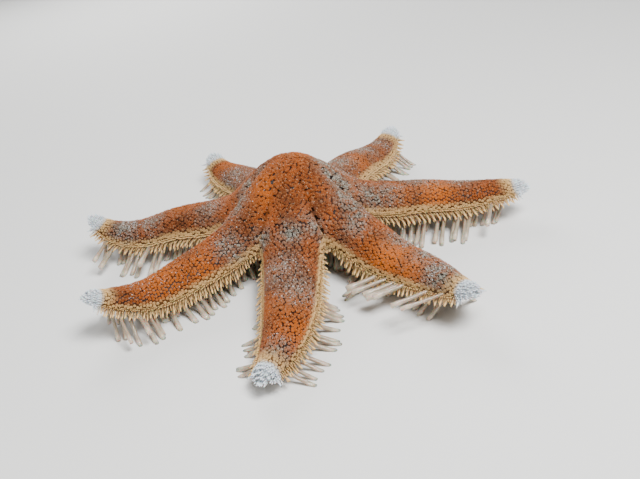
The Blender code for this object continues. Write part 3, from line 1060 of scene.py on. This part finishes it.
def bent_tubes(root, knee, end, thick):
    """The foot's points laid along a curve from root to end, with a flat level end on the floor."""
    z = foot.points[:, 2][None, :, None]
    root, knee, end = root[:, None, :], knee[:, None, :], end[:, None, :]
    line = root * (1 - z) ** 2 + 2 * knee * z * (1 - z) + end * z**2
    ahead = unit(2 * (1 - z) * (knee - root) + 2 * z * (end - knee) + np.array([0, 0, -1e-6]))
    down = np.array([0.0, 0.0, -1.0])
    level = smooth((z - 0.6) / 0.4) * (end[..., 2:] < 1e-5)
    ahead = unit(ahead * (1 - level) + down * level)
    x = unit(np.cross(ahead, np.array([0.31, 0.95, 0.05])))
    y = np.cross(ahead, x)
    profile = 1 + 0.05 * np.sin(9 * z) + (FOOT_END / FOOT_RADIUS - 1) * smooth((z - 0.76) / 0.14)
    width = thick[:, None, None] * profile
    return line + width * (x * foot.points[:, 0][None, :, None] + y * foot.points[:, 1][None, :, None])


places = gather([foot_places(arm) for arm in arms])
places["bend"][..., 2] = np.maximum(places["bend"][..., 2], 0.0)
stamp("tube_feet", foot, places, foot_paint, "feet")

# %% [markdown]
# ## Mouth
# Seven jaws meet between the arms' grooves. Each jaw is a small block, narrowed towards the mouth
# and rounded over with a bevel. Cutting wedges from a ring would give the same, with more steps.

# %% Jaws
JAW_TIP = 0.0009
JAW_DROP = 0.0004
JAW_LENGTH = 0.0020
JAW_WIDTH = 0.0019
JAW_CLEARANCE = 0.0002
JAW_NARROWING = 0.35
JAW_SLOPE = 0.0006
JAW_ROUNDING = 0.00028
# The jaws get the margin's cream, with painted shade set by their rise.
JAW_MASKS = {"margin": 1.0, "rise": 0.6}


def jaws_mesh():
    bm = bmesh.new()
    for i in range(ARMS):
        heading = FIRST_HEADING + SPACING * (i + 0.5)
        made = bmesh.ops.create_cube(bm, size=1.0)["verts"]
        bmesh.ops.scale(bm, vec=(JAW_LENGTH, JAW_WIDTH, MOUTH_DEPTH - JAW_CLEARANCE), verts=made)
        for vert in made:
            if vert.co.x < 0:
                vert.co.y *= JAW_NARROWING
            if vert.co.x < 0 and vert.co.z > 0:
                vert.co.x += JAW_SLOPE
        edges = list({edge for vert in made for edge in vert.link_edges})
        bevelled = bmesh.ops.bevel(
            bm, geom=edges, offset=JAW_ROUNDING, segments=3, profile=0.5, affect="EDGES", material=-1
        )
        made = list({vert for face in bevelled["faces"] for vert in face.verts})
        linked = set(made)
        for vert in made:
            linked |= {other for edge in vert.link_edges for other in edge.verts}
        place = Matrix.Translation((*DISC_AT, MOUTH_HEIGHT + MOUTH_DEPTH / 2 - JAW_DROP))
        place = place @ Matrix.Rotation(heading, 4, "Z")
        place = place @ Matrix.Translation((JAW_TIP + JAW_LENGTH / 2, 0, 0))
        bmesh.ops.transform(bm, matrix=place, verts=list(linked))
    mesh = bpy.data.meshes.new("jaws")
    bm.to_mesh(mesh)
    bm.free()
    for name in MASKS:
        layer = mesh.attributes.new(name, "FLOAT", "POINT")
        value = JAW_MASKS.get(name, 0.0)
        layer.data.foreach_set("value", np.full(len(mesh.vertices), value, np.float32))
    return mesh


finish("jaws", jaws_mesh(), spine_paint, "jaws", "mouth")

# %% [markdown]
# ## Sand
# Grains of pale sand lie on the paxillae, most of them where the silt has settled. A grain is a
# ball of a few faces with a dent, because at this size only its sparkle is seen. A physics run
# could drop them there, but a draw of places by the silt's own mask is quick and always the same.

# %% Grains
GRAINS = 4900
GRAIN_REACH = 0.044
TRIES = 4
STRAY_GRAINS = 0.10
SMALLEST_GRAIN = 0.00005
GRAIN_SPREAD = 0.00012


def grain_shape():
    bm = bmesh.new()
    bmesh.ops.create_icosphere(bm, subdivisions=1, radius=1.0)
    for vert in bm.verts:
        vert.co *= 0.8 + 0.3 * math.sin(5 * vert.co.x + 3 * vert.co.y)
    return Shape(bm)


def grain_places(arm, count):
    s = np.sqrt(chance.uniform(0.0, 1.0, count * TRIES)) * GRAIN_REACH
    t = chance.uniform(-0.95, 0.95, count * TRIES)
    root = arm.crown(s, t, COAT)
    wanted = STRAY_GRAINS + patches_at(root, SILT)
    keep = np.argsort(-wanted * chance.uniform(0, 1, len(s)))[:count]
    s, t, root = s[keep], t[keep], root[keep]
    normal, out = crown_normal(arm, s, t)
    size = SMALLEST_GRAIN + GRAIN_SPREAD * chance.uniform(0, 1, count) ** 5
    return {
        "root": root + normal * COAT * 1.05,
        "axes": standing(normal + chance.normal(0, 0.6, (count, 3)), out, size, size),
        "unwrap": unwrap(arm, s, 0.25 + 0.25 * t),
        **masks_at(root, s, t),
        "tint": chance.uniform(0, 1, count),
    }


grains = gather([grain_places(arm, GRAINS // ARMS) for arm in arms])
stamp("sand_grains", grain_shape(), grains, sand_paint, "sand")

# %% [markdown]
# ## Finishes
# All the flesh shares one group of nodes that mixes the body's colours by the stored masks, so
# that skin, paxillae and spines agree. Each material then adds its own gloss and softness. Three
# separate colour trees would drift apart at every change.

# %% Helpers for nodes
MIX_FIRST, MIX_SECOND, MIX_RESULT = 6, 7, 2  # the colour sockets of a mix node, among others


def colour(red, green, blue):
    return (red, green, blue, 1.0)


class Graph:
    """Short names for the nodes of one tree."""

    def __init__(self, tree):
        self.tree = tree

    def node(self, kind, **inputs):
        made = self.tree.nodes.new(kind)
        for name, value in inputs.items():
            self.feed(made.inputs[name.replace("_", " ")], value)
        return made

    def feed(self, socket, value):
        if isinstance(value, bpy.types.NodeSocket):
            self.tree.links.new(value, socket)
        else:
            socket.default_value = value

    def mix(self, factor, first, second):
        made = self.tree.nodes.new("ShaderNodeMix")
        made.data_type = "RGBA"
        self.feed(made.inputs["Factor"], factor)
        self.feed(made.inputs[MIX_FIRST], first)
        self.feed(made.inputs[MIX_SECOND], second)
        return made.outputs[MIX_RESULT]

    def maths(self, operation, first, second=0.0, clamp=False):
        made = self.tree.nodes.new("ShaderNodeMath")
        made.operation = operation
        made.use_clamp = clamp
        self.feed(made.inputs[0], first)
        self.feed(made.inputs[1], second)
        return made.outputs[0]

    def span(self, value, low, high, to_low=0.0, to_high=1.0):
        made = self.tree.nodes.new("ShaderNodeMapRange")
        self.feed(made.inputs["Value"], value)
        for name, number in zip(("From Min", "From Max", "To Min", "To Max"), (low, high, to_low, to_high)):
            made.inputs[name].default_value = number
        return made.outputs["Result"]

    def noise(self, scale, detail, where):
        return self.node("ShaderNodeTexNoise", Scale=scale, Detail=detail, Vector=where).outputs["Fac"]

    def mask(self, name):
        made = self.tree.nodes.new("ShaderNodeAttribute")
        made.attribute_name = name
        return made.outputs["Fac"]


def new_group(name, inputs, outputs):
    tree = bpy.data.node_groups.new(name, "ShaderNodeTree")
    for label, kind in inputs.items():
        tree.interface.new_socket(label, in_out="INPUT", socket_type=kind)
    for label, kind in outputs.items():
        tree.interface.new_socket(label, in_out="OUTPUT", socket_type=kind)
    return tree, tree.nodes.new("NodeGroupInput"), tree.nodes.new("NodeGroupOutput")


print("node helpers ready")

# %% [markdown]
# ## Orange, silt and cream
# The flesh goes from rust to orange in broad clouds, with bright patches and a few peach spinelets.
# Grey silt lies over it, the margin is cream and the tip white; low points get painted shade, nearly black.
# Texture painting could do it, but masks and noise need no image and fit every size.

# %% The colours of the body
ORANGE = colour(0.38, 0.085, 0.010)
RUST = colour(0.17, 0.045, 0.012)
BRIGHT_ORANGE = colour(0.66, 0.16, 0.008)
PEACH = colour(0.46, 0.19, 0.065)
PAINTED_GAP_SHADE = colour(0.014, 0.006, 0.004)
GRAIN_DISTANCE = 0.00006
SILT_GREY = colour(0.115, 0.108, 0.088)
SILT_PALE = colour(0.46, 0.45, 0.37)
CREAM = colour(0.84, 0.55, 0.23)
PAINTED_CREAM_SHADE = colour(0.15, 0.07, 0.02)
WHITE = colour(0.74, 0.80, 0.84)


def body_group():
    masks = {label: "NodeSocketFloat" for label in ("Rise", "Silt", "Bright", "Margin", "Tip", "Tint")}
    outputs = {"Color": "NodeSocketColor", "Roughness": "NodeSocketFloat", "Height": "NodeSocketFloat"}
    tree, inputs, ends = new_group("Body colours", masks, outputs)
    g = Graph(tree)
    where = g.node("ShaderNodeTexCoord").outputs["Object"]
    rise, silt, bright, margin, tip, tint = (inputs.outputs[label] for label in masks)
    broad = g.noise(210.0, 3.0, where)
    fine = g.noise(2600.0, 2.0, where)
    flesh = g.mix(g.span(broad, 0.36, 0.64), RUST, ORANGE)
    flesh = g.mix(bright, flesh, BRIGHT_ORANGE)
    flesh = g.mix(g.span(tint, 0.66, 0.95, 0.0, 0.8), flesh, PEACH)
    dust = g.maths("MULTIPLY", g.span(g.noise(700.0, 3.0, where), 0.35, 0.65, 0.35, 1.5), silt)
    dust = g.maths("ADD", dust, g.span(tint, 0.93, 1.0, 0.0, 0.5))
    dust = g.maths("MULTIPLY", dust, g.span(fine, 0.35, 0.6, 0.5, 1.2), clamp=True)
    speck = g.maths("FRACT", g.maths("MULTIPLY", tint, 7.0))
    flesh = g.mix(dust, flesh, g.mix(g.span(speck, 0.2, 0.9), SILT_GREY, SILT_PALE))
    # Painted shade: the cream margin, spines and jaws go dark brown towards their roots.
    pale = g.mix(g.span(rise, 0.1, 0.8), PAINTED_CREAM_SHADE, CREAM)
    flesh = g.mix(g.maths("MULTIPLY", margin, g.span(dust, 0.0, 1.0, 1.0, 0.5)), flesh, pale)
    flesh = g.mix(tip, flesh, WHITE)
    # Painted shade: the low points of each piece go nearly black, the pale margin less so.
    depth = g.maths("MAXIMUM", g.span(rise, 0.18, 0.85), g.maths("MULTIPLY", margin, 0.7))
    g.feed(ends.inputs["Color"], g.mix(depth, PAINTED_GAP_SHADE, flesh))
    g.feed(ends.inputs["Roughness"], g.span(dust, 0.0, 1.0, 0.48, 0.85))
    g.feed(ends.inputs["Height"], fine)
    return tree


body_colours = body_group()


def fresh(material):
    material.use_nodes = True
    shader = material.node_tree.nodes["Principled BSDF"]
    return Graph(material.node_tree), shader


def paint_flesh(material, bump, **settings):
    """Gives a material the body's colours, its grain as bump, and its own gloss."""
    g, shader = fresh(material)
    group = g.tree.nodes.new("ShaderNodeGroup")
    group.node_tree = body_colours
    for label in ("Rise", "Silt", "Bright", "Margin", "Tip", "Tint"):
        g.feed(group.inputs[label], g.mask(label.lower()))
    g.feed(shader.inputs["Base Color"], group.outputs["Color"])
    g.feed(shader.inputs["Roughness"], group.outputs["Roughness"])
    raised = g.node("ShaderNodeBump", Strength=bump, Distance=GRAIN_DISTANCE, Height=group.outputs["Height"])
    g.feed(shader.inputs["Normal"], raised.outputs["Normal"])
    for label, value in settings.items():
        shader.inputs[label.replace("_", " ")].default_value = value


paint_flesh(coat_paint, 0.5, Specular_IOR_Level=0.2)
paint_flesh(spine_paint, 0.3, Specular_IOR_Level=0.4, Subsurface_Weight=0.15, Subsurface_Scale=0.0004)
print(len(body_colours.nodes), "nodes mix the body's colours")

# %% [markdown]
# ## Clear feet and grains
# A tube foot is clear flesh: dark where it leaves the groove, milky at its blunt end. Light passes
# into it, so it gets subsurface scattering. Real transmission would be truer, but slow and noisy.

# %% Tube feet and sand
FOOT_ROOT = colour(0.20, 0.13, 0.07)
FOOT_MIDDLE = colour(0.38, 0.31, 0.22)
FOOT_PALE = colour(0.62, 0.54, 0.42)
FOOT_CLOUD = colour(0.22, 0.18, 0.13)
SAND_DARK = colour(0.16, 0.145, 0.13)
SAND_PALE = colour(0.72, 0.71, 0.68)
FOOT_SCATTER = 0.55
FOOT_SCATTER_SCALE = 0.0012
FOOT_COAT = 0.3

g, shader = fresh(foot_paint)
rise = g.mask("rise")
clear = g.mix(g.span(rise, 0.1, 0.75), FOOT_ROOT, FOOT_MIDDLE)
clear = g.mix(g.span(rise, 0.78, 0.9), clear, FOOT_PALE)
where = g.node("ShaderNodeTexCoord").outputs["Object"]
clouded = g.mix(g.span(g.noise(1500.0, 2.0, where), 0.35, 0.65, 0.0, 0.35), clear, FOOT_CLOUD)
g.feed(shader.inputs["Base Color"], clouded)
g.feed(shader.inputs["Roughness"], g.span(rise, 0.0, 1.0, 0.32, 0.5))
shader.inputs["Subsurface Weight"].default_value = FOOT_SCATTER
shader.inputs["Subsurface Scale"].default_value = FOOT_SCATTER_SCALE
shader.inputs["Coat Weight"].default_value = FOOT_COAT

g, shader = fresh(sand_paint)
g.feed(shader.inputs["Base Color"], g.mix(g.mask("tint"), SAND_DARK, SAND_PALE))
g.feed(shader.inputs["Roughness"], g.span(g.mask("tint"), 0.0, 1.0, 0.5, 0.2))
print("finishes done")
